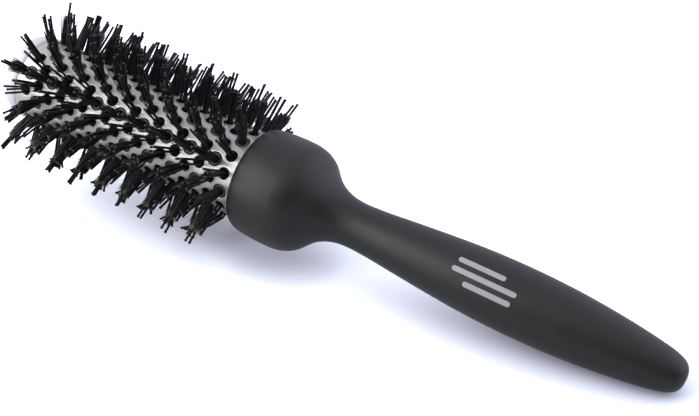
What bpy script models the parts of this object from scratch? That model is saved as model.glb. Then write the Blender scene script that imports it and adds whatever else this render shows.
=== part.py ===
"""Round barrel brush for blow-drying: a perforated metal barrel, ten bristle strips that stand
inside it and poke their tufts out through the holes, a white tip cap and a soft black handle.

Built along one axis: z = 0 is the rim of the handle's collar, +z runs to the tip of the barrel,
-z to the end of the handle, and +x is the side that faces up when the brush lies on a table.
One empty then lays the whole brush down on z = 0, on two rows of bristle tips and the handle.
Sizes in metres."""

import math

import bmesh
import bpy
from mathutils import Matrix, Vector

# barrel
BARREL_RADIUS = 0.0160
BARREL_WALL = 0.0008
BARREL_TIP_Z = 0.0975
BARREL_SOCKET_Z = -0.0160
GAP = 0.0003

# hole lattice: thirty rows around, nine holes in each, every other row half a pitch further out
ROW_COUNT = 30
HOLES_PER_ROW = 9
HOLE_PITCH = 0.0104
FIRST_HOLE_Z = 0.0043
WIDE_HOLE_RADIUS = 0.00255
NARROW_HOLE_RADIUS = 0.00185
HOLE_SIDES = 6
NARROW_HOLE_SPIN = math.radians(30.0)
CUTTER_INNER_RADIUS = 0.0125
CUTTER_OUTER_RADIUS = 0.0180

# bristle strips: three rows on each, boar in the middle row
STRIP_COUNT = 10
STRIP_START_Z = 0.0008
STRIP_END_Z = 0.0946
STRIP_OUTER_RADIUS = 0.0148
STRIP_INNER_FLAT = 0.0090
STRIP_SIDE_GAP = 0.00015
CHANNEL_HALF_WIDTH = 0.00175
CHANNEL_FLOOR = 0.0104
PIN_ROOT_RADIUS = 0.0133
PIN_TIP_RADIUS = 0.0290
PIN_TUFT_ROOT = 0.00085
PIN_TUFT_TIP = 0.00095
PIN_TUFT_SIDES = 3

# boar rows: a flat backing in the strip's channel carries the bundles and the round bosses that
# fill the barrel's wide holes
BACKING_THICKNESS = 0.0009
BACKING_END_INSET = 0.0006
BUNDLE_ROOT = 0.0112
BUNDLE_TIP = 0.0268
BUNDLE_ROOT_RADIUS = 0.00130
BUNDLE_TIP_RADIUS = 0.00150
BUNDLE_SIDES = 5
BOSS_RADIUS = 0.00205
BOSS_BASE = 0.01508
BOSS_TOP = 0.01590
LONG_PIN_ROOT = 0.0262
LONG_PIN_TIP = 0.0314
LONG_PIN_RADIUS = 0.00050
LONG_PIN_TIP_RADIUS = 0.00040
LONG_PIN_SIDES = 3

# spreader core: ten flats that hold the strips out against the barrel
CORE_FLAT = STRIP_INNER_FLAT - GAP
JOURNAL_RADIUS = 0.0050
JOURNAL_DEPTH_HANDLE = -0.0057
JOURNAL_DEPTH_CAP = 0.0984
JOURNAL_BORE = JOURNAL_RADIUS + GAP

# tip cap
CAP_SEAT_Z = BARREL_TIP_Z + GAP
CAP_END_Z = 0.1045
CAP_FACE_RADIUS = 0.0130
PLUG_RADIUS = 0.0148
PLUG_END_Z = STRIP_END_Z + GAP
CAP_BORE_Z = 0.0987

# handle
SPIGOT_TOP_Z = 0.0005
SPIGOT_BORE_Z = -0.0060
SHOULDER_Z = BARREL_SOCKET_Z - GAP
COLLAR_BORE = BARREL_RADIUS + GAP
TURN_STEPS = 30
WELD_DISTANCE = 0.00001

# how the brush lies on the table
REST_TILT = math.radians(8.12)
REST_ROLL = math.radians(2.22)
REST_LIFT = 0.02868
REST_SHIFT_X = -0.02581
REST_SHIFT_Y = 0.0

# outer shape of the handle, rim of the collar first: (radius, z)
GRIP_OUTSIDE = (
    (0.0180, 0.0),
    (0.0186, -0.0012),
    (0.0194, -0.0055),
    (0.0197, -0.0110),
    (0.0196, -0.0170),
    (0.0189, -0.0208),
    (0.0172, -0.0239),
    (0.0140, -0.0268),
    (0.0110, -0.0305),
    (0.0090, -0.0350),
    (0.0081, -0.0400),
    (0.0083, -0.0475),
    (0.0096, -0.0630),
    (0.0109, -0.0800),
    (0.0116, -0.0980),
    (0.0114, -0.1120),
    (0.0105, -0.1270),
    (0.0090, -0.1400),
    (0.0070, -0.1510),
    (0.0052, -0.1561),
    (0.0025, -0.1581),
)
GRIP_END_Z = -0.1585

# inner shape of the soft skin, which is also the shape of the hard core under it
GRIP_INSIDE = (
    (COLLAR_BORE, -0.0195),
    (0.0142, -0.0225),
    (0.0090, -0.0285),
    (0.0060, -0.0370),
    (0.0061, -0.0480),
    (0.0088, -0.0840),
    (0.0094, -0.1000),
    (0.0080, -0.1280),
    (0.0050, -0.1460),
)
GRIP_POCKET_END_Z = -0.1520


def clear_scene():
    for item in list(bpy.data.objects):
        bpy.data.objects.remove(item, do_unlink=True)
    for old in list(bpy.data.collections):
        bpy.data.collections.remove(old)


def make_collection(name):
    made = bpy.data.collections.new(name)
    bpy.context.scene.collection.children.link(made)
    return made


def make_material(name, colour, roughness, metallic):
    made = bpy.data.materials.new(name)
    made.use_nodes = True
    shader = made.node_tree.nodes["Principled BSDF"]
    shader.inputs["Base Color"].default_value = (*colour, 1.0)
    shader.inputs["Roughness"].default_value = roughness
    shader.inputs["Metallic"].default_value = metallic
    made.diffuse_color = (*colour, 1.0)
    return made


def add_mesh_object(name, mesh, collection, parent, material=None):
    made = bpy.data.objects.new(name, mesh)
    collection.objects.link(made)
    made.parent = parent
    if material is not None:
        mesh.materials.append(material)
    return made


def add_turned(name, profile, steps, collection, parent, material):
    """A profile of (radius, z) points swept a full turn around the axis."""
    mesh = bpy.data.meshes.new(name)
    points = [(radius, 0.0, height) for radius, height in profile]
    edges = [(index, index + 1) for index in range(len(points) - 1)]
    on_axis = profile[0][0] == 0.0 and profile[-1][0] == 0.0
    if not on_axis:
        edges.append((len(points) - 1, 0))
    mesh.from_pydata(points, edges, [])
    made = add_mesh_object(name, mesh, collection, parent, material)
    screw = made.modifiers.new("turn", "SCREW")
    screw.axis = "Z"
    screw.angle = math.tau
    screw.steps = steps
    screw.render_steps = steps
    screw.use_merge_vertices = True
    screw.merge_threshold = WELD_DISTANCE
    screw.use_smooth_shade = True
    return made


def add_boolean(target, operand, operation):
    cut = target.modifiers.new(operation.lower(), "BOOLEAN")
    cut.operation = operation
    cut.solver = "EXACT"
    cut.object = operand


def hide_helper(helper):
    helper.hide_render = True
    helper.display_type = "WIRE"


def radial_frame(angle, along):
    """Lays a shape that stands on its z axis so that it points outwards at this angle."""
    turn = Matrix.Rotation(angle, 4, "Z")
    lay = Matrix.Rotation(math.radians(90.0), 4, "Y")
    return Matrix.Translation(Vector((0.0, 0.0, along))) @ turn @ lay


def add_prism(builder, sides, frame, start, end, start_radius, end_radius):
    """One straight or tapered prism from start to end along the frame's z axis."""
    middle = Matrix.Translation(Vector((0.0, 0.0, (start + end) / 2.0)))
    bmesh.ops.create_cone(
        builder,
        cap_ends=True,
        cap_tris=False,
        segments=sides,
        radius1=start_radius,
        radius2=end_radius,
        depth=end - start,
        matrix=frame @ middle,
    )


def mesh_from(builder, name):
    mesh = bpy.data.meshes.new(name)
    builder.to_mesh(mesh)
    builder.free()
    return mesh


def row_angle(row):
    return math.tau / ROW_COUNT * (row + 0.5)


def is_wide_row(row):
    return row % 3 == 1


def hole_heights(row):
    start = FIRST_HOLE_Z + (HOLE_PITCH / 2.0 if row % 2 else 0.0)
    return [start + HOLE_PITCH * index for index in range(HOLES_PER_ROW)]


def build_hole_cutters(helpers, parent):
    builder = bmesh.new()
    for row in range(ROW_COUNT):
        radius = WIDE_HOLE_RADIUS if is_wide_row(row) else NARROW_HOLE_RADIUS
        inner = radius * CUTTER_INNER_RADIUS / BARREL_RADIUS
        outer = radius * CUTTER_OUTER_RADIUS / BARREL_RADIUS
        for height in hole_heights(row):
            frame = radial_frame(row_angle(row), height)
            if not is_wide_row(row):
                frame = frame @ Matrix.Rotation(NARROW_HOLE_SPIN, 4, "Z")
            add_prism(builder, HOLE_SIDES, frame, CUTTER_INNER_RADIUS, CUTTER_OUTER_RADIUS,
                      inner, outer)
    cutters = add_mesh_object("hole_cutters", mesh_from(builder, "hole_cutters"), helpers, parent)
    hide_helper(cutters)
    return cutters


def build_barrel(brush, helpers, parent, material):
    inner = BARREL_RADIUS - BARREL_WALL
    profile = (
        (BARREL_RADIUS, BARREL_TIP_Z),
        (BARREL_RADIUS, BARREL_SOCKET_Z),
        (inner, BARREL_SOCKET_Z),
        (inner, BARREL_TIP_Z),
    )
    barrel = add_turned("barrel_tube", profile, ROW_COUNT, brush, parent, material)
    add_boolean(barrel, build_hole_cutters(helpers, parent), "DIFFERENCE")


def extruded_outline(name, outline, length, helpers):
    """A closed outline in x and y, given its length along z, as a mesh."""
    flat = bpy.data.curves.new(name, "CURVE")
    flat.dimensions = "2D"
    flat.fill_mode = "BOTH"
    flat.extrude = length / 2.0
    spline = flat.splines.new("POLY")
    spline.points.add(len(outline) - 1)
    for point, (x, y) in zip(spline.points, outline):
        point.co = (x, y, 0.0, 1.0)
    spline.use_cyclic_u = True
    curve = bpy.data.objects.new(name + "_outline", flat)
    helpers.objects.link(curve)
    graph = bpy.context.evaluated_depsgraph_get()
    mesh = bpy.data.meshes.new_from_object(curve.evaluated_get(graph))
    bpy.data.objects.remove(curve, do_unlink=True)
    mesh.name = name
    mesh.materials.clear()
    builder = bmesh.new()
    builder.from_mesh(mesh)
    bmesh.ops.remove_doubles(builder, verts=builder.verts, dist=WELD_DISTANCE)
    bmesh.ops.recalc_face_normals(builder, faces=builder.faces)
    builder.to_mesh(mesh)
    builder.free()
    return mesh


def strip_outline():
    """Cross-section of one strip, seen along the axis, pointing out along +x."""
    half_angle = math.pi / STRIP_COUNT
    side_shift = STRIP_SIDE_GAP / math.cos(half_angle)
    corner = half_angle - math.asin(STRIP_SIDE_GAP / STRIP_OUTER_RADIUS)
    lip = math.asin(CHANNEL_HALF_WIDTH / STRIP_OUTER_RADIUS)
    half = [
        (CHANNEL_FLOOR, CHANNEL_HALF_WIDTH),
        (STRIP_OUTER_RADIUS * math.cos(lip), CHANNEL_HALF_WIDTH),
        (STRIP_OUTER_RADIUS * math.cos(corner), STRIP_OUTER_RADIUS * math.sin(corner)),
        (STRIP_INNER_FLAT, STRIP_INNER_FLAT * math.tan(half_angle) - side_shift),
    ]
    mirrored = [(x, -y) for x, y in reversed(half)]
    return half + mirrored


def build_radial_prisms(name, rows, prism, helpers, parent):
    """The same prism (sides, start, end, start radius, end radius) at every hole of the rows."""
    builder = bmesh.new()
    for row in rows:
        for height in hole_heights(row):
            add_prism(builder, prism[0], radial_frame(row_angle(row), height), *prism[1:])
    prisms = add_mesh_object(name, mesh_from(builder, name), helpers, parent)
    hide_helper(prisms)
    return prisms


def build_strip(index, brush, helpers, parent, material):
    name = f"bristle_strip_{index + 1:02d}"
    length = STRIP_END_Z - STRIP_START_Z
    place = Matrix.Rotation(row_angle(3 * index + 1), 4, "Z") @ Matrix.Translation(
        Vector((0.0, 0.0, (STRIP_START_Z + STRIP_END_Z) / 2.0)))
    mesh = extruded_outline(name, strip_outline(), length, helpers)
    mesh.transform(place)
    strip = add_mesh_object(name, mesh, brush, parent, material)
    tuft = (PIN_TUFT_SIDES, PIN_ROOT_RADIUS, PIN_TIP_RADIUS, PIN_TUFT_ROOT, PIN_TUFT_TIP)
    side_rows = (3 * index, 3 * index + 2)
    tufts = build_radial_prisms(f"pin_tufts_{index + 1:02d}", side_rows, tuft, helpers, parent)
    add_boolean(strip, tufts, "UNION")


def build_boar_row(index, brush, helpers, parent, material):
    builder = bmesh.new()
    length = STRIP_END_Z - STRIP_START_Z - 2.0 * BACKING_END_INSET
    middle = Vector((
        CHANNEL_FLOOR + GAP + BACKING_THICKNESS / 2.0,
        0.0,
        (STRIP_START_Z + STRIP_END_Z) / 2.0,
    ))
    size = Matrix.Diagonal((BACKING_THICKNESS, 2.0 * (CHANNEL_HALF_WIDTH - GAP), length, 1.0))
    turn = Matrix.Rotation(row_angle(3 * index + 1), 4, "Z")
    bmesh.ops.create_cube(builder, size=1.0, matrix=turn @ Matrix.Translation(middle) @ size)
    name = f"boar_row_{index + 1:02d}"
    boar = add_mesh_object(name, mesh_from(builder, name), brush, parent, material)
    shapes = {
        "boar_bundles": (BUNDLE_SIDES, BUNDLE_ROOT, BUNDLE_TIP, BUNDLE_ROOT_RADIUS,
                         BUNDLE_TIP_RADIUS),
        "hole_bosses": (HOLE_SIDES, BOSS_BASE, BOSS_TOP, BOSS_RADIUS, BOSS_RADIUS),
        "long_pins": (LONG_PIN_SIDES, LONG_PIN_ROOT, LONG_PIN_TIP, LONG_PIN_RADIUS,
                      LONG_PIN_TIP_RADIUS),
    }
    for kind, prism in shapes.items():
        helper_name = f"{kind}_{index + 1:02d}"
        operand = build_radial_prisms(helper_name, (3 * index + 1,), prism, helpers, parent)
        add_boolean(boar, operand, "UNION")


def build_spreader_core(brush, parent, material):
    corner = CORE_FLAT / math.cos(math.pi / STRIP_COUNT)
    profile = (
        (0.0, JOURNAL_DEPTH_CAP),
        (JOURNAL_RADIUS, JOURNAL_DEPTH_CAP),
        (JOURNAL_RADIUS, STRIP_END_Z),
        (corner, STRIP_END_Z),
        (corner, STRIP_START_Z),
        (JOURNAL_RADIUS, STRIP_START_Z),
        (JOURNAL_RADIUS, JOURNAL_DEPTH_HANDLE),
        (0.0, JOURNAL_DEPTH_HANDLE),
    )
    add_turned("spreader_core", profile, STRIP_COUNT, brush, parent, material)


def build_tip_cap(brush, parent, material):
    profile = (
        (0.0, CAP_END_Z),
        (CAP_FACE_RADIUS, CAP_END_Z),
        (0.0146, 0.1038),
        (0.0156, 0.1022),
        (BARREL_RADIUS, 0.1000),
        (BARREL_RADIUS, CAP_SEAT_Z),
        (PLUG_RADIUS, CAP_SEAT_Z),
        (PLUG_RADIUS, PLUG_END_Z),
        (JOURNAL_BORE, PLUG_END_Z),
        (JOURNAL_BORE, CAP_BORE_Z),
        (0.0, CAP_BORE_Z),
    )
    add_turned("tip_cap", profile, TURN_STEPS, brush, parent, material)


def build_handle_core(brush, parent, material):
    shaft = [(radius - GAP, height) for radius, height in GRIP_INSIDE]
    profile = [
        (0.0, SPIGOT_BORE_Z),
        (JOURNAL_BORE, SPIGOT_BORE_Z),
        (JOURNAL_BORE, SPIGOT_TOP_Z),
        (PLUG_RADIUS, SPIGOT_TOP_Z),
        (PLUG_RADIUS, SHOULDER_Z),
        (COLLAR_BORE - GAP, SHOULDER_Z),
        *shaft,
        (0.0, GRIP_POCKET_END_Z + GAP),
    ]
    add_turned("handle_core", profile, TURN_STEPS, brush, parent, material)


def build_grip(brush, parent, material):
    """The soft skin: up the lining from its closed end, over the rim and down the outside."""
    profile = [
        (0.0, GRIP_POCKET_END_Z),
        *reversed(GRIP_INSIDE),
        (COLLAR_BORE, 0.0),
        *GRIP_OUTSIDE,
        (0.0, GRIP_END_Z),
    ]
    add_turned("soft_grip", profile, TURN_STEPS, brush, parent, material)


def add_rest_pose(brush):
    pose = bpy.data.objects.new("rest_pose", None)
    brush.objects.link(pose)
    pose.rotation_mode = "ZYX"
    pose.rotation_euler = (0.0, REST_TILT - math.radians(90.0), REST_ROLL)
    pose.location = (REST_SHIFT_X, REST_SHIFT_Y, REST_LIFT)
    return pose


def main():
    clear_scene()
    brush = make_collection("round_barrel_brush")
    helpers = make_collection("helpers")
    pose = add_rest_pose(brush)
    coated_metal = make_material("silver_ceramic_coat", (0.76, 0.75, 0.77), 0.28, 0.75)
    white_plastic = make_material("white_plastic", (0.82, 0.82, 0.84), 0.35, 0.0)
    black_nylon = make_material("black_nylon", (0.018, 0.018, 0.020), 0.42, 0.0)
    boar = make_material("boar_bristle", (0.055, 0.036, 0.022), 0.60, 0.0)
    core_plastic = make_material("core_plastic", (0.025, 0.025, 0.028), 0.55, 0.0)
    handle_plastic = make_material("handle_plastic", (0.030, 0.030, 0.032), 0.50, 0.0)
    soft_touch = make_material("soft_touch_black", (0.032, 0.033, 0.034), 0.48, 0.0)
    build_barrel(brush, helpers, pose, coated_metal)
    build_tip_cap(brush, pose, white_plastic)
    build_spreader_core(brush, pose, core_plastic)
    for index in range(STRIP_COUNT):
        build_strip(index, brush, helpers, pose, black_nylon)
        build_boar_row(index, brush, helpers, pose, boar)
    build_handle_core(brush, pose, handle_plastic)
    build_grip(brush, pose, soft_touch)


main()
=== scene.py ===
import math

import bmesh
import bpy
import numpy as np
from mathutils import Matrix, Vector
from mathutils.geometry import delaunay_2d_cdt


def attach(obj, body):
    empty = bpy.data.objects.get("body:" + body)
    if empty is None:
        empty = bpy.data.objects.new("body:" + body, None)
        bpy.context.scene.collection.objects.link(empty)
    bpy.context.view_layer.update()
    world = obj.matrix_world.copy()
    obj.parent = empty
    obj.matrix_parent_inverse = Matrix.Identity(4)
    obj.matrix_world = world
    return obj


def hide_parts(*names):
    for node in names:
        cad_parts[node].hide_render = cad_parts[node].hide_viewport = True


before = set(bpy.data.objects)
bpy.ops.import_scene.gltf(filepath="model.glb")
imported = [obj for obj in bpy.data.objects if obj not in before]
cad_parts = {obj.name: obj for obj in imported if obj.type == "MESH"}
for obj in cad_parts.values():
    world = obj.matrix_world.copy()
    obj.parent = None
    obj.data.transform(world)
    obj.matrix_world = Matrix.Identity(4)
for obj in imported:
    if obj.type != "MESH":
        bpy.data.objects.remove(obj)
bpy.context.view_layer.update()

# ---------------------------------------------------------------- sizes, in metres
MM = 0.001

# the brush's own frame: z = 0 at the collar's rim, +z to the tip, +x up when it lies on the table
REST_TILT = math.radians(8.12)
REST_ROLL = math.radians(2.22)
REST_PLACE = Vector((-0.02581, 0.0, 0.02868))
POSE = (
    Matrix.Translation(REST_PLACE)
    @ Matrix.Rotation(REST_TILT - math.pi / 2.0, 4, "Y")
    @ Matrix.Rotation(REST_ROLL, 4, "Z")
)

# the photo's camera, which the pressed tufts hide from
CAMERA_AT = (0.17952, -0.28944, 0.22764)
CAMERA_TURN = (59.240, -1.084, 30.664)  # degrees about x, y and z
CAMERA_LENS = 59.62  # mm, on a 36 mm wide sensor

BARREL_R = 16.0 * MM
BARREL_IN = 15.2 * MM
BARREL_TIP = 97.5 * MM
BARREL_SOCKET = -16.0 * MM
ROWS = 30
HOLES = 9
PITCH = 10.4 * MM
FIRST_HOLE = 4.3 * MM
WIDE_R = 2.62 * MM
NARROW_R = 2.16 * MM
STRIPS = 10
STRIP_START = 0.8 * MM
STRIP_END = 94.6 * MM

SEED = 20
GOLDEN_TURN = math.pi * (3.0 - math.sqrt(5.0))


# ---------------------------------------------------------------- lattice
def row_angle(row):
    return math.tau / ROWS * (row + 0.5)


def hole_heights(row):
    start = FIRST_HOLE + (PITCH / 2.0 if row % 2 else 0.0)
    return [start + PITCH * i for i in range(HOLES)]


def is_wide(row):
    return row % 3 == 1


def radial(angle):
    return np.array([math.cos(angle), math.sin(angle), 0.0])


def around(angle):
    return np.array([-math.sin(angle), math.cos(angle), 0.0])


ALONG = np.array([0.0, 0.0, 1.0])


# ---------------------------------------------------------------- mesh building
POSE_TURN = np.array(POSE)[:3, :3]
POSE_PLACE = np.array(POSE)[:3, 3]


def to_world(points):
    return points @ POSE_TURN.T + POSE_PLACE


def to_local(points):
    return (points - POSE_PLACE) @ POSE_TURN


def keep_local(mesh, local):
    """Materials read the brush's own coordinates from this attribute."""
    own = mesh.attributes.new("local", "FLOAT_VECTOR", "POINT")
    own.data.foreach_set("vector", local.astype(np.float32).ravel())


class Shell:
    """Collects vertices and faces, and makes one mesh object of them."""

    def __init__(self):
        self.points = []
        self.loops = []
        self.sizes = []
        self.slots = []
        self.tones = []
        self.count = 0

    def add(self, points, faces, slot=0, tone=None):
        """faces is a list of equal-length index arrays, grouped by size."""
        points = np.asarray(points, float)
        for block in faces:
            block = np.asarray(block, int)
            if block.size == 0:
                continue
            self.loops.append((block + self.count).ravel())
            self.sizes.append(np.full(len(block), block.shape[1]))
            self.slots.append(np.full(len(block), slot))
        self.points.append(points)
        self.tones.append(np.full(len(points), 0.5) if tone is None else tone)
        self.count += len(points)

    def build(self, name, materials, body="root", sharp=40.0):
        mesh = bpy.data.meshes.new(name)
        local = np.vstack(self.points)
        points = to_world(local)
        loops = np.concatenate(self.loops)
        sizes = np.concatenate(self.sizes)
        slots = np.concatenate(self.slots)
        mesh.vertices.add(len(points))
        mesh.vertices.foreach_set("co", points.astype(np.float32).ravel())
        mesh.loops.add(len(loops))
        mesh.loops.foreach_set("vertex_index", loops.astype(np.int32))
        mesh.polygons.add(len(sizes))
        starts = np.concatenate([[0], np.cumsum(sizes)[:-1]])
        mesh.polygons.foreach_set("loop_start", starts.astype(np.int32))
        mesh.polygons.foreach_set("loop_total", sizes.astype(np.int32))
        mesh.polygons.foreach_set("material_index", slots.astype(np.int32))
        mesh.update(calc_edges=True)
        mesh.validate()
        tone = mesh.attributes.new("tone", "FLOAT", "POINT")
        tone.data.foreach_set("value", np.concatenate(self.tones).astype(np.float32))
        keep_local(mesh, local)
        for material in materials:
            mesh.materials.append(material)
        mesh.shade_smooth()
        mesh.set_sharp_from_angle(angle=math.radians(sharp))
        made = bpy.data.objects.new(name, mesh)
        bpy.context.scene.collection.objects.link(made)
        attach(made, body)
        return made


def revolve(profile, steps, closed):
    """Turns (radius, z) points about the z axis. Points on the axis become single vertices."""
    rings = []
    points = []
    count = 0
    angles = np.arange(steps) * math.tau / steps
    for radius, height in profile:
        if radius < 1e-9:
            rings.append([count])
            points.append([[0.0, 0.0, height]])
            count += 1
        else:
            rings.append(list(range(count, count + steps)))
            points.append(
                np.column_stack(
                    [radius * np.cos(angles), radius * np.sin(angles), np.full(steps, height)]
                )
            )
            count += steps
    quads = []
    triangles = []
    pairs = list(zip(rings[:-1], rings[1:]))
    if closed:
        pairs.append((rings[-1], rings[0]))
    for a, b in pairs:
        for i in range(steps):
            j = (i + 1) % steps
            if len(a) == 1 and len(b) > 1:
                triangles.append((a[0], b[i], b[j]))
            elif len(b) == 1 and len(a) > 1:
                triangles.append((a[i], b[0], a[j]))
            elif len(a) > 1:
                quads.append((a[i], b[i], b[j], a[j]))
    return np.vstack(points), quads, triangles


def face_out(points, quads, triangles):
    """Turns every face over if the closed shape is inside out."""
    volume = 0.0
    for block in (quads, triangles):
        for face in block:
            a = points[face[0]]
            for k in range(1, len(face) - 1):
                volume += np.dot(a, np.cross(points[face[k]], points[face[k + 1]]))
    if volume < 0.0:
        quads = [tuple(reversed(face)) for face in quads]
        triangles = [tuple(reversed(face)) for face in triangles]
    return points, quads, triangles


def smooth_profile(knots, count):
    """A curve through the knots, evenly stepped, as a list of (radius, z)."""
    knots = np.asarray(knots, float)
    gaps = np.sqrt(np.linalg.norm(np.diff(knots, axis=0), axis=1))
    times = np.concatenate([[0.0], np.cumsum(gaps)])
    padded = np.vstack([2 * knots[0] - knots[1], knots, 2 * knots[-1] - knots[-2]])
    padded_times = np.concatenate(
        [[times[0] - gaps[0]], times, [times[-1] + gaps[-1]]]
    )
    out = []
    for t in np.linspace(times[0], times[-1], count):
        k = min(np.searchsorted(times, t, side="right"), len(knots) - 1)
        p0, p1, p2, p3 = padded[k - 1], padded[k], padded[k + 1], padded[k + 2]
        t0, t1, t2, t3 = padded_times[k - 1 : k + 3]
        a1 = (t1 - t) / (t1 - t0) * p0 + (t - t0) / (t1 - t0) * p1
        a2 = (t2 - t) / (t2 - t1) * p1 + (t - t1) / (t2 - t1) * p2
        a3 = (t3 - t) / (t3 - t2) * p2 + (t - t2) / (t3 - t2) * p3
        b1 = (t2 - t) / (t2 - t0) * a1 + (t - t0) / (t2 - t0) * a2
        b2 = (t3 - t) / (t3 - t1) * a2 + (t - t1) / (t3 - t1) * a3
        point = (t2 - t) / (t2 - t1) * b1 + (t - t1) / (t2 - t1) * b2
        out.append((max(point[0], 0.0), point[1]))
    return out


TABLE_GAP = 0.25 * MM


def above_table(points):
    """Bristles that would dip below the table lie on it instead."""
    world = to_world(points)
    world[:, 2] = np.maximum(world[:, 2], TABLE_GAP)
    return to_local(world)


def strands(shell, batch, stations, sides):
    """Closed thin rods, all at once. stations is a list of (share of the length, share of the
    radius); the tone is kept at the very tip only."""
    roots, tips = np.array(batch["roots"]), np.array(batch["tips"])
    bends, radii = np.array(batch["bends"]), np.array(batch["radii"])
    number = len(roots)
    lines = tips - roots
    axes = lines / np.linalg.norm(lines, axis=1, keepdims=True)
    side_a = np.cross(axes, np.tile(ALONG, (number, 1)))
    side_a /= np.linalg.norm(side_a, axis=1, keepdims=True)
    side_b = np.cross(axes, side_a)
    angles = np.arange(sides) * math.tau / sides
    rings = []
    for share, width in stations:
        centre = roots + lines * share + bends * (4.0 * share * (1.0 - share))
        ring = centre[:, None, :] + (radii * width)[:, None, None] * (
            np.cos(angles)[None, :, None] * side_a[:, None, :]
            + np.sin(angles)[None, :, None] * side_b[:, None, :]
        )
        rings.append(ring)
    points = np.stack(rings, axis=1)
    levels = len(stations)
    base = (np.arange(number) * levels * sides)[:, None]
    quads = []
    for level in range(levels - 1):
        for i in range(sides):
            j = (i + 1) % sides
            a = level * sides
            b = a + sides
            quads.append(base + np.array([[a + i, a + j, b + j, b + i]]))
    start = base + np.arange(sides)[::-1][None, :]
    end = base + ((levels - 1) * sides + np.arange(sides))[None, :]
    tone = np.zeros((number, levels, sides))
    tone[:, -1, :] = np.array(batch["tones"])[:, None]
    shell.add(
        above_table(points.reshape(-1, 3)), [np.concatenate(quads), start, end], 0, tone.ravel()
    )


# ---------------------------------------------------------------- materials
def new_material(name):
    material = bpy.data.materials.new(name)
    material.use_nodes = True
    tree = material.node_tree
    shader = tree.nodes["Principled BSDF"]
    return material, tree, shader


def link(tree, a, b):
    tree.links.new(a, b)


def local_node(tree):
    node = tree.nodes.new("ShaderNodeAttribute")
    node.attribute_name = "local"
    return node.outputs["Vector"]


def noise_node(tree, scale, detail=3.0, coordinates=None):
    node = tree.nodes.new("ShaderNodeTexNoise")
    node.inputs["Scale"].default_value = scale
    node.inputs["Detail"].default_value = detail
    if coordinates is None:
        coordinates = tree.nodes.new("ShaderNodeTexCoord").outputs["Object"]
    link(tree, coordinates, node.inputs["Vector"])
    return node


def spread_node(tree, source, low, high):
    node = tree.nodes.new("ShaderNodeMapRange")
    node.inputs["From Min"].default_value = 0.3
    node.inputs["From Max"].default_value = 0.7
    node.inputs["To Min"].default_value = low
    node.inputs["To Max"].default_value = high
    link(tree, source, node.inputs["Value"])
    return node


def mix_colour(tree, factor, a, b):
    node = tree.nodes.new("ShaderNodeMix")
    node.data_type = "RGBA"
    link(tree, factor, node.inputs["Factor"])
    for socket, value in (("A", a), ("B", b)):
        target = [s for s in node.inputs if s.name == socket and s.type == "RGBA"][0]
        if hasattr(value, "is_linked"):
            link(tree, value, target)
        else:
            target.default_value = (*value, 1.0)
    return [s for s in node.outputs if s.type == "RGBA"][0]


def add_bump(tree, shader, height, strength, distance):
    bump = tree.nodes.new("ShaderNodeBump")
    bump.inputs["Strength"].default_value = strength
    bump.inputs["Distance"].default_value = distance
    link(tree, height, bump.inputs["Height"])
    link(tree, bump.outputs["Normal"], shader.inputs["Normal"])


def coated_metal():
    material, tree, shader = new_material("silver_ceramic_coat")
    cloud = noise_node(tree, 120.0, 4.0)
    tint = mix_colour(tree, cloud.outputs["Fac"], (0.425, 0.415, 0.410), (0.480, 0.465, 0.460))
    link(tree, tint, shader.inputs["Base Color"])
    grain = noise_node(tree, 5200.0, 2.0)
    rough = spread_node(tree, grain.outputs["Fac"], 0.27, 0.37)
    link(tree, rough.outputs["Result"], shader.inputs["Roughness"])
    shader.inputs["Metallic"].default_value = 0.62
    add_bump(tree, shader, grain.outputs["Fac"], 0.12, 0.00003)
    return material


def white_plastic():
    material, tree, shader = new_material("white_plastic")
    cloud = noise_node(tree, 300.0, 3.0)
    tint = mix_colour(tree, cloud.outputs["Fac"], (0.53, 0.53, 0.56), (0.57, 0.57, 0.60))
    link(tree, tint, shader.inputs["Base Color"])
    grain = noise_node(tree, 3000.0, 3.0)
    rough = spread_node(tree, grain.outputs["Fac"], 0.28, 0.40)
    link(tree, rough.outputs["Result"], shader.inputs["Roughness"])
    shader.inputs["Subsurface Weight"].default_value = 0.1
    shader.inputs["Subsurface Radius"].default_value = (0.002, 0.002, 0.002)
    add_bump(tree, shader, grain.outputs["Fac"], 0.10, 0.00003)
    return material


def black_plastic(name, dark, light, rough_low, rough_high, grain_scale, gloss=0.5):
    material, tree, shader = new_material(name)
    cloud = noise_node(tree, 500.0, 3.0)
    tint = mix_colour(tree, cloud.outputs["Fac"], dark, light)
    link(tree, tint, shader.inputs["Base Color"])
    grain = noise_node(tree, grain_scale, 3.0)
    rough = spread_node(tree, grain.outputs["Fac"], rough_low, rough_high)
    link(tree, rough.outputs["Result"], shader.inputs["Roughness"])
    shader.inputs["Specular IOR Level"].default_value = gloss
    add_bump(tree, shader, grain.outputs["Fac"], 0.12, 0.00003)
    return material


def boar_hair():
    """Near black, with gold and brown split ends on some hairs."""
    material, tree, shader = new_material("boar_bristle")
    tone = tree.nodes.new("ShaderNodeAttribute")
    tone.attribute_name = "tone"
    share = tree.nodes.new("ShaderNodeMath")
    share.operation = "POWER"
    share.inputs[1].default_value = 0.7
    link(tree, tone.outputs["Fac"], share.inputs[0])
    cloud = noise_node(tree, 1500.0, 2.0)
    streak = spread_node(tree, cloud.outputs["Fac"], 0.0, 1.0).outputs["Result"]
    dark = mix_colour(tree, streak, (0.009, 0.009, 0.010), (0.060, 0.055, 0.060))
    gold = mix_colour(tree, streak, (0.20, 0.14, 0.07), (0.62, 0.52, 0.34))
    tint = mix_colour(tree, share.outputs["Value"], dark, gold)
    link(tree, tint, shader.inputs["Base Color"])
    rough = spread_node(tree, cloud.outputs["Fac"], 0.42, 0.60)
    link(tree, rough.outputs["Result"], shader.inputs["Roughness"])
    shader.inputs["Specular IOR Level"].default_value = 0.22
    return material


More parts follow.
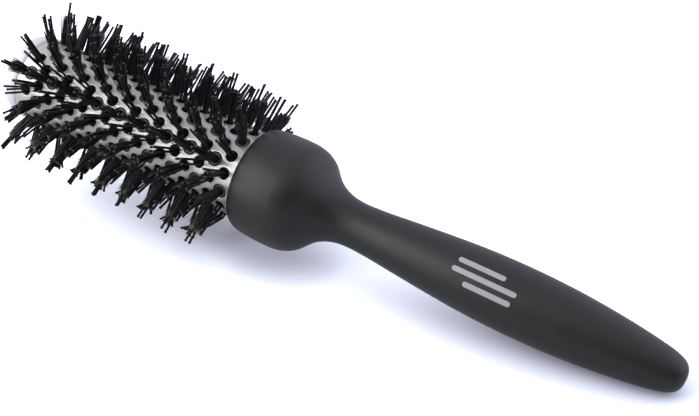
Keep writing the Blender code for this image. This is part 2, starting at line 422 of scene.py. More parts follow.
def soft_touch():
    """Satin charcoal skin with a small plain printed mark of three dashes."""
    material, tree, shader = new_material("soft_touch_black")
    coordinates = local_node(tree)
    cloud = noise_node(tree, 60.0, 4.0, coordinates)
    tint = mix_colour(tree, cloud.outputs["Fac"], (0.0072, 0.0075, 0.0078), (0.0098, 0.0101, 0.0104))
    mark = printed_mark(tree, coordinates)
    colour = mix_colour(tree, mark, tint, (0.30, 0.30, 0.31))
    link(tree, colour, shader.inputs["Base Color"])
    grain = noise_node(tree, 7000.0, 2.0, coordinates)
    rough = spread_node(tree, grain.outputs["Fac"], 0.40, 0.50)
    link(tree, rough.outputs["Result"], shader.inputs["Roughness"])
    shader.inputs["Specular IOR Level"].default_value = 0.38
    shader.inputs["Sheen Weight"].default_value = 0.04
    shader.inputs["Sheen Roughness"].default_value = 0.4
    add_bump(tree, shader, grain.outputs["Fac"], 0.16, 0.00004)
    return material


MARK_ANGLE = math.radians(-49.0)
MARK_DASHES = (
    # (middle along the handle, half length, offset around the handle), metres
    (-0.0895, 0.0075, 0.0034),
    (-0.0918, 0.0105, 0.0000),
    (-0.0941, 0.0075, -0.0034),
)
MARK_HALF_WIDTH = 0.00085


def printed_mark(tree, coordinates):
    """1 inside the dashes, 0 elsewhere."""
    split = tree.nodes.new("ShaderNodeSeparateXYZ")
    link(tree, coordinates, split.inputs[0])

    def math_node(operation, a, b=None, clamp=False):
        node = tree.nodes.new("ShaderNodeMath")
        node.operation = operation
        node.use_clamp = clamp
        for index, value in enumerate((a, b)):
            if value is None:
                continue
            if hasattr(value, "is_linked"):
                link(tree, value, node.inputs[index])
            else:
                node.inputs[index].default_value = value
        return node.outputs["Value"]

    cosine, sine = math.cos(MARK_ANGLE), math.sin(MARK_ANGLE)
    out_x = math_node("MULTIPLY", split.outputs["X"], cosine)
    out_y = math_node("MULTIPLY", split.outputs["Y"], sine)
    outward = math_node("ADD", out_x, out_y)
    side_x = math_node("MULTIPLY", split.outputs["X"], -sine)
    side_y = math_node("MULTIPLY", split.outputs["Y"], cosine)
    sideways = math_node("ADD", side_x, side_y)
    front = math_node("GREATER_THAN", outward, 0.0)
    total = None
    for middle, half_length, offset in MARK_DASHES:
        across = math_node("ABSOLUTE", math_node("SUBTRACT", sideways, offset))
        along = math_node("ABSOLUTE", math_node("SUBTRACT", split.outputs["Z"], middle))
        past_end = math_node("MAXIMUM", math_node("SUBTRACT", along, half_length), 0.0)
        square = math_node(
            "ADD", math_node("POWER", across, 2.0), math_node("POWER", past_end, 2.0)
        )
        inside = math_node("LESS_THAN", math_node("SQRT", square), MARK_HALF_WIDTH)
        total = inside if total is None else math_node("MAXIMUM", total, inside)
    return math_node("MULTIPLY", total, front)


COAT = coated_metal()
CAP_WHITE = white_plastic()
NYLON = black_plastic(
    "black_nylon", (0.003, 0.003, 0.004), (0.007, 0.007, 0.008), 0.36, 0.48, 2600.0, gloss=0.34
)
# black strip plastic, darker than the nylon pins: partly its own colour, partly painted shade for
# the depth of the holes it shows through
STRIP_PLASTIC_AND_HOLE_SHADE = black_plastic(
    "strip_plastic_and_hole_shade", (0.0012, 0.0012, 0.0014), (0.0020, 0.0020, 0.0022), 0.6, 0.7, 1500.0, gloss=0.15
)
BOSS = black_plastic(
    "boss_plastic", (0.030, 0.028, 0.030), (0.048, 0.045, 0.048), 0.34, 0.46, 1500.0
)
CORE = black_plastic(
    "core_plastic", (0.022, 0.022, 0.024), (0.030, 0.030, 0.033), 0.48, 0.60, 1800.0
)
HANDLE_CORE = black_plastic(
    "handle_plastic", (0.026, 0.026, 0.028), (0.034, 0.034, 0.036), 0.45, 0.55, 1800.0
)
BOAR = boar_hair()
SKIN = soft_touch()


# ---------------------------------------------------------------- perforated barrel
SEAM_SWING = 0.75 * MM
SHEET_STEP = 1.15 * MM
SOCKET_STEP = 3.2 * MM
SOCKET_TOP = -1.0 * MM  # the finely meshed part of the sheet starts here
SEAM_LEVELS = 118
RIM_DROP = 0.12 * MM
# (distance out from the hole, depth below the sheet) of the rings around a hole
HOLE_ROUNDING = ((0.0, 0.11 * MM), (0.07 * MM, 0.03 * MM), (0.19 * MM, 0.0))
WIDE_SIDES = 32
NARROW_SIDES = 26
SEAM_MARGIN = 0.6 * MM
HOLE_MARGIN = 0.5 * MM
RIM_MARGIN = 0.4 * MM
ROW_SHARE = 0.87  # grid rows are closer together than the points in a row
RIM_ROW_STEP = 1.2 * MM
RIM_ROW_DEPTH = 0.3 * MM
RIM_ROW_GAP = 1.3 * MM
FINE_FROM = -3.0 * MM
HOLE_INSIDE = 0.985
TO_MM = 1000.0


def seam(height):
    """The sheet's cut line winds between the holes of its first and last rows."""
    return -SEAM_SWING * np.cos(math.tau * (height - FIRST_HOLE) / PITCH)


def flat_holes():
    """(position around, position along, radius) of every hole on the unrolled sheet."""
    girth = math.tau * BARREL_R
    found = []
    for row in range(ROWS):
        radius = WIDE_R if is_wide(row) else NARROW_R
        middle = girth / ROWS * (row + 0.5)
        found += [(middle, height, radius) for height in hole_heights(row)]
    return found


def barrel_shell():
    girth = math.tau * BARREL_R
    low = BARREL_SOCKET
    high = BARREL_TIP
    points = []
    drops = []
    edges = []

    def put(x, y, drop=0.0):
        points.append((x, y))
        drops.append(drop)
        return len(points) - 1

    holes = flat_holes()
    for x, y, radius in holes:
        number = WIDE_SIDES if radius == WIDE_R else NARROW_SIDES
        for extra, drop in HOLE_ROUNDING:
            ring = []
            for k in range(number):
                turn = math.tau * k / number
                ring.append(
                    put(
                        x + (radius + extra) * math.cos(turn),
                        y + (radius + extra) * math.sin(turn),
                        drop,
                    )
                )
            edges += list(zip(ring, ring[1:] + ring[:1]))
    # outline: both cut lines step at the same heights, so that they meet when rolled up
    levels = np.concatenate(
        [np.arange(low, SOCKET_TOP, SOCKET_STEP), np.linspace(SOCKET_TOP, high, SEAM_LEVELS)]
    )
    left = [put(seam(z), z, RIM_DROP if z == high else 0.0) for z in levels]
    right = [put(seam(z) + girth, z, RIM_DROP if z == high else 0.0) for z in levels]
    count_around = int(round(girth / SHEET_STEP))
    top = []
    bottom = []
    for k in range(1, count_around):
        shift = girth * k / count_around
        top.append(put(seam(high) + shift, high, RIM_DROP))
        bottom.append(put(seam(low) + shift, low))
    edges += list(zip(left[:-1], left[1:]))
    edges += list(zip(right[:-1], right[1:]))
    for chain in ([left[-1]] + top + [right[-1]], [left[0]] + bottom + [right[0]]):
        edges += list(zip(chain[:-1], chain[1:]))
    # a loose grid fills the metal between the holes
    hole_array = np.array(holes)
    z = low + SOCKET_STEP
    line = 0
    while z < high - RIM_MARGIN:
        step = SOCKET_STEP if z < FINE_FROM else SHEET_STEP
        offset = 0.5 * SHEET_STEP if line % 2 else 0.0
        first = seam(z) + SEAM_MARGIN
        for x in np.arange(first, seam(z) + girth - SEAM_MARGIN, SHEET_STEP):
            px = x + offset * 0.5
            gaps = np.hypot(hole_array[:, 0] - px, hole_array[:, 1] - z) - hole_array[:, 2]
            if gaps.min() > HOLE_MARGIN:
                put(px, z)
        z += step * ROW_SHARE
        line += 1
    rim_row = high - RIM_ROW_DEPTH
    for x in np.arange(0.0, girth, RIM_ROW_STEP):
        put(seam(rim_row) + SEAM_MARGIN + x * (1 - RIM_ROW_GAP / girth), rim_row)
    # the triangulation works in millimetres, where its tolerance is fine enough
    flat = [Vector((x * TO_MM, y * TO_MM)) for x, y in points]
    verts, _, faces, origins, _, _ = delaunay_2d_cdt(flat, edges, [], 0, 1e-5)
    flat = np.array([(v.x, v.y) for v in verts]) / TO_MM
    drop = np.array([max((drops[k] for k in ids), default=0.0) for ids in origins])
    triangles = np.array([face for face in faces if len(face) == 3])
    centre = flat[triangles].mean(axis=1)
    cut = np.interp(centre[:, 1], levels, seam(levels))
    keep = (centre[:, 0] > cut) & (centre[:, 0] < cut + girth)
    for x, y, radius in holes:
        inside = np.hypot(centre[:, 0] - x, centre[:, 1] - y) < radius * HOLE_INSIDE
        keep &= ~inside
    triangles = triangles[keep]
    # roll it up, and give it its thickness
    angle = flat[:, 0] / BARREL_R
    outer = BARREL_R - drop
    outside = np.column_stack([outer * np.cos(angle), outer * np.sin(angle), flat[:, 1]])
    inside = np.column_stack(
        [BARREL_IN * np.cos(angle), BARREL_IN * np.sin(angle), flat[:, 1]]
    )
    number = len(flat)
    builder = bmesh.new()
    made = [builder.verts.new(p) for p in np.vstack([outside, inside])]
    for a, b, c in triangles:
        builder.faces.new((made[a], made[b], made[c]))
        builder.faces.new((made[c + number], made[b + number], made[a + number]))
    border = {}
    for a, b, c in triangles:
        for p, q in ((a, b), (b, c), (c, a)):
            if (q, p) in border:
                del border[(q, p)]
            else:
                border[(p, q)] = True
    cut_points = {k for k in range(number) if abs(flat[k, 0] - seam(flat[k, 1])) < 1e-6}
    cut_points |= {
        k for k in range(number) if abs(flat[k, 0] - girth - seam(flat[k, 1])) < 1e-6
    }
    for p, q in border:
        on_cut = p in cut_points and q in cut_points
        if on_cut and abs(flat[p, 1] - flat[q, 1]) > 1e-7:
            continue
        builder.faces.new((made[q], made[p], made[p + number], made[q + number]))
    loose = [v for v in builder.verts if not v.link_faces]
    bmesh.ops.delete(builder, geom=loose, context="VERTS")
    bmesh.ops.remove_doubles(builder, verts=builder.verts, dist=2e-6)
    bmesh.ops.recalc_face_normals(builder, faces=builder.faces)
    local = np.array([v.co for v in builder.verts])
    bmesh.ops.transform(builder, matrix=POSE, verts=builder.verts)
    mesh = bpy.data.meshes.new("barrel_shell")
    builder.to_mesh(mesh)
    builder.free()
    keep_local(mesh, local)
    mesh.materials.append(COAT)
    mesh.shade_smooth()
    mesh.set_sharp_from_angle(angle=math.radians(48.0))
    barrel = bpy.data.objects.new("barrel_shell", mesh)
    bpy.context.scene.collection.objects.link(barrel)
    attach(barrel, "root")
    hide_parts("barrel_tube")


# ---------------------------------------------------------------- tip cap
def tip_cap():
    rounded = smooth_profile(
        [
            (13.0 * MM, 104.5 * MM),
            (14.0 * MM, 104.25 * MM),
            (14.9 * MM, 103.6 * MM),
            (15.5 * MM, 102.5 * MM),
            (15.85 * MM, 101.1 * MM),
            (16.0 * MM, 99.6 * MM),
        ],
        16,
    )
    profile = (
        [(0.0, 104.5 * MM), (4.0 * MM, 104.5 * MM), (9.0 * MM, 104.5 * MM)]
        + rounded
        + [
            (16.0 * MM, 98.1 * MM),
            (15.8 * MM, 97.8 * MM),
            (14.8 * MM, 97.8 * MM),
            (14.8 * MM, 94.9 * MM),
            (5.3 * MM, 94.9 * MM),
            (5.3 * MM, 98.7 * MM),
            (0.0, 98.7 * MM),
        ]
    )
    shell = Shell()
    points, quads, triangles = face_out(*revolve(profile, 120, False))
    shell.add(points, [quads, triangles])
    cap = shell.build("tip_cap_shell", [CAP_WHITE], sharp=35.0)
    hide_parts("tip_cap")


# ---------------------------------------------------------------- handle
GRIP_KNOTS = (
    (18.22, -0.55),
    (18.75, -1.60),
    (19.20, -3.60),
    (19.50, -6.30),
    (19.68, -10.0),
    (19.70, -14.0),
    (19.45, -17.6),
    (18.60, -20.9),
    (16.90, -23.9),
    (14.40, -26.4),
    (12.00, -29.0),
    (10.05, -32.2),
    (8.70, -36.0),
    (8.10, -40.5),
    (8.25, -47.5),
    (9.35, -60.2),
    (10.42, -72.9),
    (11.27, -85.5),
    (11.62, -98.2),
    (11.45, -110.9),
    (10.72, -123.6),
    (9.42, -136.3),
    (7.80, -147.4),
    (6.60, -153.0),
    (5.10, -156.4),
    (3.00, -158.0),
    (0.00, -158.5),
)


def grip():
    outside = smooth_profile([(r * MM, z * MM) for r, z in GRIP_KNOTS], 230)
    rim = smooth_profile(
        [
            (16.30 * MM, -1.5 * MM),
            (16.36 * MM, -0.60 * MM),
            (16.75 * MM, -0.12 * MM),
            (17.35 * MM, 0.0),
            (17.90 * MM, -0.18 * MM),
            (18.22 * MM, -0.55 * MM),
        ],
        14,
    )
    lining = [
        (0.0, -152.0 * MM),
        (5.0 * MM, -146.0 * MM),
        (8.0 * MM, -128.0 * MM),
        (9.4 * MM, -100.0 * MM),
        (8.8 * MM, -84.0 * MM),
        (6.1 * MM, -48.0 * MM),
        (6.0 * MM, -37.0 * MM),
        (9.0 * MM, -28.5 * MM),
        (14.2 * MM, -22.5 * MM),
        (16.3 * MM, -19.5 * MM),
    ]
    profile = lining + rim[:-1] + outside[:-1] + [(0.0, outside[-1][1])]
    shell = Shell()
    points, quads, triangles = face_out(*revolve(profile, 144, False))
    shell.add(points, [quads, triangles])
    skin = shell.build("grip_skin", [SKIN], sharp=60.0)
    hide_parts("soft_grip")


# ---------------------------------------------------------------- bristles
STRAND_FOOT = BARREL_IN  # strands lean from here outwards
PIN_START = 13.2 * MM
LONG_PIN_START = 13.4 * MM
BUNDLE_START = 13.5 * MM
SWEEP_DROP = 0.28  # how much a bent strand's tip sinks, as a share of its sweep
SWEEP_BOW = -0.25  # how far a bent strand's middle lags behind, as a share of its sweep

# (share of the length, share of the radius); a pin ends in a small ball, a hair in a point
PIN_STATIONS = (
    (0.0, 1.0),
    (0.3, 1.0),
    (0.65, 1.0),
    (0.962, 0.98),
    (0.976, 1.2),
    (0.991, 1.15),
    (1.0, 0.6),
)
HAIR_STATIONS = ((0.0, 1.0), (0.35, 1.0), (0.65, 0.95), (0.88, 0.85), (1.0, 0.45))
PIN_SIDES = 8
HAIR_SIDES = 3

# lengths from the brush's axis to the tip, widths and spreads, in millimetres
PIN_LENGTH = 29.1
LONG_PIN_LENGTH = 31.6
BOAR_LENGTH = 27.0
PIN_RADIUS = (0.40, 0.45)
LONG_PIN_RADIUS = (0.41, 0.47)
HAIR_RADIUS = (0.115, 0.155)
HAIR_COUNT = (96, 114)
BUNDLE_FOOT = 1.02
BUNDLE_FLARE = (1.65, 2.05)
SHORT_HAIRS = 0.14  # share of a bundle's hairs that end early
SHORTER_BY = (0.8, 4.0)
TAME_HAIRS = 0.84  # share of a bundle's hairs that lean only a little
TAME_LEAN = 0.034
STRAY_LEAN = 0.11


STRIP_BACK = 14.8 * MM
STRIP_FLAT = 9.0 * MM
STRIP_GAP = 0.15 * MM
STRIP_ARC_STEPS = 9
STRIP_LEVELS = 20


def strip_body(shell, index):
    """The moulded strip: an arc of plastic behind three rows of holes."""
    half = math.pi / STRIPS
    corner = half - math.asin(STRIP_GAP / STRIP_BACK)
    turns = [corner * k / STRIP_ARC_STEPS for k in range(-STRIP_ARC_STEPS, STRIP_ARC_STEPS + 1)]
    outline = [(STRIP_BACK * math.cos(a), STRIP_BACK * math.sin(a)) for a in turns]
    inner_half = STRIP_FLAT * math.tan(half) - STRIP_GAP / math.cos(half)
    outline += [(STRIP_FLAT, inner_half), (STRIP_FLAT, -inner_half)]
    turn = row_angle(3 * index + 1)
    cosine, sine = math.cos(turn), math.sin(turn)
    flat = np.array([(x * cosine - y * sine, x * sine + y * cosine) for x, y in outline])
    levels = np.linspace(STRIP_START, STRIP_END, STRIP_LEVELS)
    points = np.vstack([np.column_stack([flat, np.full(len(flat), z)]) for z in levels])
    number = len(flat)
    quads = []
    for level in range(len(levels) - 1):
        a = level * number
        b = a + number
        for i in range(number):
            j = (i + 1) % number
            quads.append((a + i, a + j, b + j, b + i))
    last = (len(levels) - 1) * number
    floor_face = [tuple(reversed(range(number)))]
    top_face = [tuple(range(last, last + number))]
    shell.add(points, [quads, floor_face, top_face], 1)


LEANING_ROWS = (0, 1, 2, 3, 4, 5)  # the far upper side, brushed towards the handle
COLLAR_LEAN = -0.12
HANDLE_LEAN = -0.05
TIP_LEAN = 0.12

# the rows that carry the brush on the table; their tufts give way behind those of the row above
PRESSED_ROWS = (14, 15, 16, 17, 18)
SCREEN_ROW = 19
SCREEN_LENGTH = 28.0 * MM
SCREEN_HALF_WIDTH = 0.9 * MM
COLLAR_R = 18.5 * MM
COLLAR_BACK = -24.0 * MM
SWEEP_EFFORT = 0.35 * MM  # cost of a sweep, against the distance that a tuft shows by
SWEEPS_ALONG = np.linspace(-0.9, 0.9, 25)
SWEEPS_AROUND = np.linspace(-1.1, 0.4, 21)

# rows whose last tuft at the tip leans its own way: (lean along, lean around, shorter by)
TIP_TUFTS = {21: (-0.20, 0.16, 1.8), 22: (-0.02, 0.06, 0.0), 23: (-0.05, 0.19, 0.9)}


def at_tip(height):
    return height > FIRST_HOLE + (HOLES - 1.4) * PITCH


def at_collar(height):
    return height < FIRST_HOLE + 0.6 * PITCH


def tuft_middle(row, height, length, sweeps, shares):
    """Middle lines of one tuft, one for each sweep (along, around), held above the table."""
    out, side = radial(row_angle(row)), around(row_angle(row))
    travel = length - STRAND_FOOT
    moved = (sweeps[:, :1] * ALONG + sweeps[:, 1:] * side) * travel
    root = out * BUNDLE_START + ALONG * height
    drop = SWEEP_DROP * np.linalg.norm(moved, axis=1, keepdims=True)
    tips = out * (length - drop) + ALONG * height + moved
    share = shares[None, :, None]
    bow = moved[:, None, :] * (SWEEP_BOW * 4.0) * share * (1.0 - share)
    lines = root + (tips[:, None, :] - root) * share + bow
    return above_table(lines.reshape(-1, 3)).reshape(lines.shape)


def behind_body(points, eye):
    """Whether the barrel or the collar stands between the eye and each point."""
    flat_run = points[..., :2] - eye[:2]
    nearest = -(flat_run @ eye[:2]) / (flat_run**2).sum(axis=-1)
    nearest = np.clip(nearest, 0.0, 1.0)
    place = eye + (points - eye) * nearest[..., None]
    radius = np.hypot(place[..., 0], place[..., 1])
    height = place[..., 2]
    barrel = (height > 0.0) & (height < BARREL_TIP) & (radius < BARREL_R)
    collar = (height > COLLAR_BACK) & (height <= 0.0) & (radius < COLLAR_R)
    return barrel | collar


def pressed_sweep(row, height):
    """The sweep (along, around) that hides a pressed tuft best from the camera, behind the
    tufts of the screen row or behind the body, with small sweeps preferred."""
    eye = to_local(np.array(CAMERA_AT))
    along, across = np.meshgrid(SWEEPS_ALONG, SWEEPS_AROUND)
    sweeps = np.column_stack([along.ravel(), across.ravel()])
    length = (LONG_PIN_LENGTH if is_wide(row) else PIN_LENGTH) * MM
    lines = tuft_middle(row, height, length, sweeps, np.linspace(0.3, 1.0, 10))
    still = np.zeros((1, 2))
    shares = np.linspace(0.1, 1.0, 16)
    screen = np.vstack(
        [
            tuft_middle(SCREEN_ROW, place, SCREEN_LENGTH, still, shares)[0]
            for place in hole_heights(SCREEN_ROW)
        ]
    )
    screen_rays = (screen - eye) / np.linalg.norm(screen - eye, axis=1, keepdims=True)
    reach = np.linalg.norm(lines - eye, axis=-1)
    rays = (lines - eye) / reach[..., None]
    cosine = np.clip((rays @ screen_rays.T).max(axis=-1), -1.0, 1.0)
    past = np.maximum(reach * np.sqrt(1.0 - cosine**2) - SCREEN_HALF_WIDTH, 0.0)
    past[behind_body(lines, eye)] = 0.0
    cost = past.mean(axis=1) + SWEEP_EFFORT * (sweeps**2).sum(axis=1)
    return tuple(sweeps[int(np.argmin(cost))])


def tuft_lean(draw, row, height):
    """Lean of one tuft as a share of its length: (straight, straight, curved, curved), along
    the brush and around it."""
    along, across = draw.normal(0.0, 0.030), draw.normal(0.0, 0.030)
    curved = (0.0, 0.0)
    if row in PRESSED_ROWS:
        curved = pressed_sweep(row, height)
    if at_tip(height) and row in TIP_TUFTS:
        along += TIP_TUFTS[row][0]
        across += TIP_TUFTS[row][1]
    elif at_tip(height):
        along += TIP_LEAN
    elif row in LEANING_ROWS:
        along += COLLAR_LEAN if at_collar(height) else HANDLE_LEAN
    return along, across, curved[0], curved[1]


def strand_line(out, side, height, start, offset, fan, length, lean):
    """(root, tip, curve) of one strand that starts off-centre by offset and fans out."""
    travel = length - STRAND_FOOT
    dz, ds = offset
    root = out * start + ALONG * (height + dz) + side * ds
    sweep = (ALONG * lean[2] + side * lean[3]) * travel
    tip = (
        out * (length - SWEEP_DROP * np.linalg.norm(sweep))
        + ALONG * (height + dz * fan + travel * lean[0])
        + side * (ds * fan + travel * lean[1])
        + sweep
    )
    return root, tip, sweep * SWEEP_BOW


PIN_CORNERS = ((0.5, 0.5), (-0.5, 0.5), (-0.5, -0.5), (0.5, -0.5))


def new_batch():
    return {key: [] for key in ("roots", "tips", "bends", "radii", "tones")}


def add_strand(batch, draw, line, across, wobble, radius, tone=0.0):
    root, tip, curve = line
    out, side = across
    batch["roots"].append(root)
    batch["tips"].append(tip)
    batch["bends"].append(curve + (ALONG * draw.normal() + side * draw.normal()) * wobble)
    batch["radii"].append(radius)
    batch["tones"].append(tone)


def pin_tufts(index, draw):
    shell = Shell()
    strip_body(shell, index)
    pins = new_batch()
    for row in (3 * index, 3 * index + 2):
        angle = row_angle(row)
        out, side = radial(angle), around(angle)
        for height in hole_heights(row):
            lean = tuft_lean(draw, row, height)
            number = 4 if draw.random() < 0.55 else 3
            turn = draw.normal(0.0, 0.35)
            spread = draw.uniform(0.8, 1.15) * MM
            splay = draw.uniform(1.2, 2.1)
            tuft_length = PIN_LENGTH + draw.normal(0.0, 0.5)
            if at_tip(height) and row in TIP_TUFTS:
                tuft_length -= TIP_TUFTS[row][2]
            for a, b in PIN_CORNERS[:number]:
                offset = (
                    (a * math.cos(turn) - b * math.sin(turn)) * spread,
                    (a * math.sin(turn) + b * math.cos(turn)) * spread,
                )
                length = (tuft_length + draw.normal(0.0, 0.22)) * MM
                fan = splay + draw.normal(0.0, 0.25)
                line = strand_line(out, side, height, PIN_START, offset, fan, length, lean)
                width = draw.uniform(*PIN_RADIUS) * MM
                add_strand(pins, draw, line, (out, side), 0.10 * MM, width)
    strands(shell, pins, PIN_STATIONS, PIN_SIDES)
    made = shell.build(f"strip_and_pins_{index + 1:02d}", [NYLON, STRIP_PLASTIC_AND_HOLE_SHADE])
    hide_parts(f"bristle_strip_{index + 1:02d}")


def boss(shell, angle, height):
    """The round black boss that fills a wide hole."""
    profile = [
        (1.35 * MM, 15.0 * MM),
        (1.35 * MM, 15.62 * MM),
        (1.55 * MM, 15.82 * MM),
        (1.80 * MM, 15.86 * MM),
        (2.06 * MM, 15.78 * MM),
        (2.26 * MM, 15.60 * MM),
        (2.38 * MM, 15.30 * MM),
        (2.38 * MM, 15.0 * MM),
    ]
    points, quads, triangles = face_out(*revolve(profile, 30, True))
    place = np.column_stack([around(angle), ALONG, radial(angle)])
    shell.add(points @ place.T + ALONG * height, [quads], 1)


def hair_bundle(draw, out, side, height, lean, batch):
    """One packed bundle that flares a little, with some shorter hairs and a few strays."""
    tallest = BOAR_LENGTH + draw.normal(0.0, 0.4)
    slant = draw.normal(0.0, 0.35, 2)
    number = int(draw.integers(*HAIR_COUNT))
    flare = draw.uniform(*BUNDLE_FLARE)
    golden = draw.uniform(0.05, 0.6)
    for k in range(number):
        reach = BUNDLE_FOOT * math.sqrt((k + 0.5) / number)
        spot = GOLDEN_TURN * k + draw.normal(0.0, 0.3)
        dz, ds = reach * math.cos(spot), reach * math.sin(spot)
        length = tallest + slant[0] * dz + slant[1] * ds - abs(draw.normal(0.0, 0.65))
        if draw.random() < SHORT_HAIRS:
            length -= draw.uniform(*SHORTER_BY)
        stray = TAME_LEAN if draw.random() < TAME_HAIRS else STRAY_LEAN
        own_lean = (
            lean[0] + draw.normal() * stray,
            lean[1] + draw.normal() * stray,
            lean[2],
            lean[3],
        )
        fan = flare + draw.normal(0.0, 0.16)
        line = strand_line(
            out, side, height, BUNDLE_START, (dz * MM, ds * MM), fan, length * MM, own_lean
        )
        width = draw.uniform(*HAIR_RADIUS) * MM
        tone = draw.uniform(0.4, 1.0) if draw.random() < golden else 0.0
        add_strand(batch, draw, line, (out, side), 0.20 * MM, width, tone)


def long_pins(draw, out, side, height, lean, batch):
    """The nylon pins that stand out of a bundle's end, in pairs or single."""
    turn = draw.random() * math.pi
    number = int(draw.choice([1, 2, 2, 2, 3]))
    middle = LONG_PIN_LENGTH + draw.normal(0.0, 0.35)
    fan = draw.uniform(1.0, 1.9)
    for k in range(number):
        spot = turn + math.tau * k / number
        reach = 0.0 if number == 1 else draw.uniform(0.42, 0.62) * MM
        offset = (reach * math.cos(spot), reach * math.sin(spot))
        length = (middle + draw.normal(0.0, 0.25)) * MM
        line = strand_line(out, side, height, LONG_PIN_START, offset, fan, length, lean)
        width = draw.uniform(*LONG_PIN_RADIUS) * MM
        add_strand(batch, draw, line, (out, side), 0.10 * MM, width)


def boar_row(index, draw):
    row = 3 * index + 1
    angle = row_angle(row)
    out, side = radial(angle), around(angle)
    hair, solid = Shell(), Shell()
    hairs, pins = new_batch(), new_batch()
    for height in hole_heights(row):
        boss(solid, angle, height)
        lean = tuft_lean(draw, row, height)
        hair_bundle(draw, out, side, height, lean, hairs)
        long_pins(draw, out, side, height, lean, pins)
    strands(hair, hairs, HAIR_STATIONS, HAIR_SIDES)
    strands(solid, pins, PIN_STATIONS, PIN_SIDES)
    name = f"boar_row_{index + 1:02d}"
    made = hair.build(f"boar_hair_{index + 1:02d}", [BOAR], sharp=80.0)
    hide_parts(name)
    made = solid.build(f"bosses_and_long_pins_{index + 1:02d}", [NYLON, BOSS])
    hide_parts(name)


barrel_shell()
tip_cap()
grip()
draw = np.random.default_rng(SEED)
for strip in range(STRIPS):
    pin_tufts(strip, draw)
    boar_row(strip, draw)

for node, material in (("handle_core", HANDLE_CORE), ("spreader_core", CORE)):
    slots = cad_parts[node].data.materials
    for k in range(len(slots)):
        slots[k] = material


# ---------------------------------------------------------------- studio
FLOOR_SEEN = (1.14, 1.185, 1.305)
# painted shade: the floor colour under and beside the brush, where an occlusion mask darkens it
FLOOR_PAINTED_CONTACT_SHADE = (0.30, 0.31, 0.37)
# painted glow: faint lavender light the floor gives off to the camera, lifting and tinting its
# shadows
FLOOR_GLOW = (0.105, 0.095, 0.135)
# how far from the brush the painted shade on the floor reaches, in metres
PAINTED_SHADE_REACH = 0.015
FLOOR_REFLECTED = (0.60, 0.60, 0.63)
SKY_RISE = (-0.1, 0.9, 0.70, 1.09)
ROOM_DARK_SIDE = (0.57, -0.82, -0.05)
ROOM_DARK = (0.40, 0.90, 1.0, 0.15)
FILL_SIDE = (0.72, 0.60, 0.36)
FILL = (0.62, 1.0, 0.0, 1.05)
ROOM_COLOUR = (0.88, 0.92, 1.0)
SOFTBOX_AT = (-0.56, -0.46, 0.35)
SOFTBOX_AIM = (-0.02, 0.0, 0.03)
SOFTBOX_SIZE = (0.86, 0.90)
SOFTBOX_POWER = 8.9


def add_floor():
    mesh = bpy.data.meshes.new("floor")
    half = 3.0
    corners = [(-half, -half, 0.0), (half, -half, 0.0), (half, half, 0.0), (-half, half, 0.0)]
    mesh.from_pydata(corners, [], [(0, 1, 2, 3)])
    floor = bpy.data.objects.new("floor", mesh)
    bpy.context.scene.collection.objects.link(floor)
    material, tree, shader = new_material("floor_white")
    rays = tree.nodes.new("ShaderNodeLightPath")
    # the camera sees bright paper, with painted shade darkening it to a lavender grey near the
    # brush; reflections see it toned down
    painted_shade_occlusion = tree.nodes.new("ShaderNodeAmbientOcclusion")
    painted_shade_occlusion.inputs["Distance"].default_value = PAINTED_SHADE_REACH
    painted_shade_occlusion.samples = 16
    seen_with_painted_shade = mix_colour(tree, painted_shade_occlusion.outputs["AO"], FLOOR_PAINTED_CONTACT_SHADE, FLOOR_SEEN)
    tint = mix_colour(tree, rays.outputs["Is Camera Ray"], FLOOR_REFLECTED, seen_with_painted_shade)
    link(tree, tint, shader.inputs["Base Color"])
    shader.inputs["Roughness"].default_value = 0.7
    shader.inputs["Specular IOR Level"].default_value = 0.0
    # painted glow: the floor emits faint lavender light, for camera rays only
    shader.inputs["Emission Color"].default_value = (*FLOOR_GLOW, 1.0)
    link(tree, rays.outputs["Is Camera Ray"], shader.inputs["Emission Strength"])
    mesh.materials.append(material)


def add_light(name, place, target, size, power, colour):
    data = bpy.data.lights.new(name, "AREA")
    data.shape = "RECTANGLE"
    data.size, data.size_y = size
    data.energy = power
    data.color = colour
    light = bpy.data.objects.new(name, data)
    bpy.context.scene.collection.objects.link(light)
    light.location = place
    aim = Vector(target) - Vector(place)
    light.rotation_euler = aim.to_track_quat("-Z", "Y").to_euler()
    return light


def add_camera():
    data = bpy.data.cameras.new("camera")
    data.sensor_width = 36.0
    data.lens = CAMERA_LENS
    data.clip_start = 0.01
    data.clip_end = 20.0
    camera = bpy.data.objects.new("camera", data)
    bpy.context.scene.collection.objects.link(camera)
    camera.location = CAMERA_AT
    camera.rotation_euler = [math.radians(turn) for turn in CAMERA_TURN]
    bpy.context.scene.camera = camera


def dot_node(tree, vector, direction):
    node = tree.nodes.new("ShaderNodeVectorMath")
    node.operation = "DOT_PRODUCT"
    node.inputs[1].default_value = Vector(direction).normalized()
    link(tree, vector, node.inputs[0])
    return node.outputs["Value"]


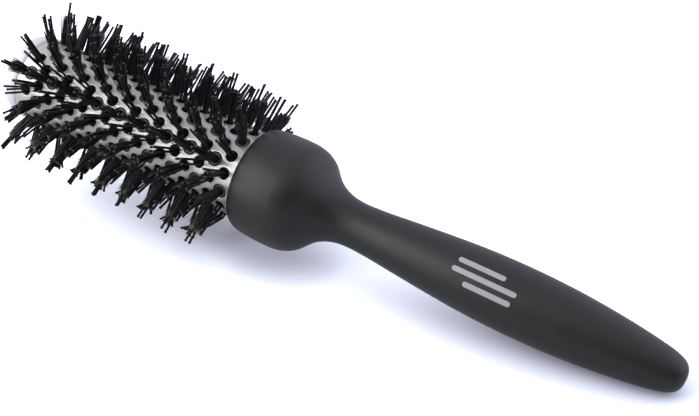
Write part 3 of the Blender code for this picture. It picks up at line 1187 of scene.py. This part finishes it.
def ramp_node(tree, source, start, end, low, high):
    node = tree.nodes.new("ShaderNodeMapRange")
    node.interpolation_type = "SMOOTHSTEP"
    node.inputs["From Min"].default_value = start
    node.inputs["From Max"].default_value = end
    node.inputs["To Min"].default_value = low
    node.inputs["To Max"].default_value = high
    link(tree, source, node.inputs["Value"])
    return node.outputs["Result"]


def multiply_node(tree, a, b):
    node = tree.nodes.new("ShaderNodeMath")
    node.operation = "MULTIPLY"
    link(tree, a, node.inputs[0])
    link(tree, b, node.inputs[1])
    return node.outputs["Value"]


def add_world():
    """Soft room light: brighter overhead, dim in front where the camera stands."""
    world = bpy.data.worlds.new("world")
    bpy.context.scene.world = world
    world.use_nodes = True
    tree = world.node_tree
    toward = tree.nodes.new("ShaderNodeTexCoord").outputs["Generated"]
    overhead = ramp_node(tree, dot_node(tree, toward, (0.0, 0.0, 1.0)), *SKY_RISE)
    front = ramp_node(tree, dot_node(tree, toward, ROOM_DARK_SIDE), *ROOM_DARK)
    fill = ramp_node(tree, dot_node(tree, toward, FILL_SIDE), *FILL)
    background = tree.nodes["Background"]
    background.inputs["Color"].default_value = (*ROOM_COLOUR, 1.0)
    total = tree.nodes.new("ShaderNodeMath")
    link(tree, multiply_node(tree, overhead, front), total.inputs[0])
    link(tree, fill, total.inputs[1])
    link(tree, total.outputs["Value"], background.inputs["Strength"])
    plain = tree.nodes.new("ShaderNodeBackground")
    plain.inputs["Color"].default_value = (1.0, 1.0, 1.0, 1.0)
    rays = tree.nodes.new("ShaderNodeLightPath")
    choose = tree.nodes.new("ShaderNodeMixShader")
    link(tree, rays.outputs["Is Camera Ray"], choose.inputs[0])
    link(tree, background.outputs[0], choose.inputs[1])
    link(tree, plain.outputs[0], choose.inputs[2])
    link(tree, choose.outputs[0], tree.nodes["World Output"].inputs["Surface"])


def add_studio():
    add_floor()
    add_world()
    add_light("softbox", SOFTBOX_AT, SOFTBOX_AIM, SOFTBOX_SIZE, SOFTBOX_POWER, (1.0, 0.99, 0.97))
    bpy.context.scene.view_settings.view_transform = "Standard"


add_studio()
add_camera()
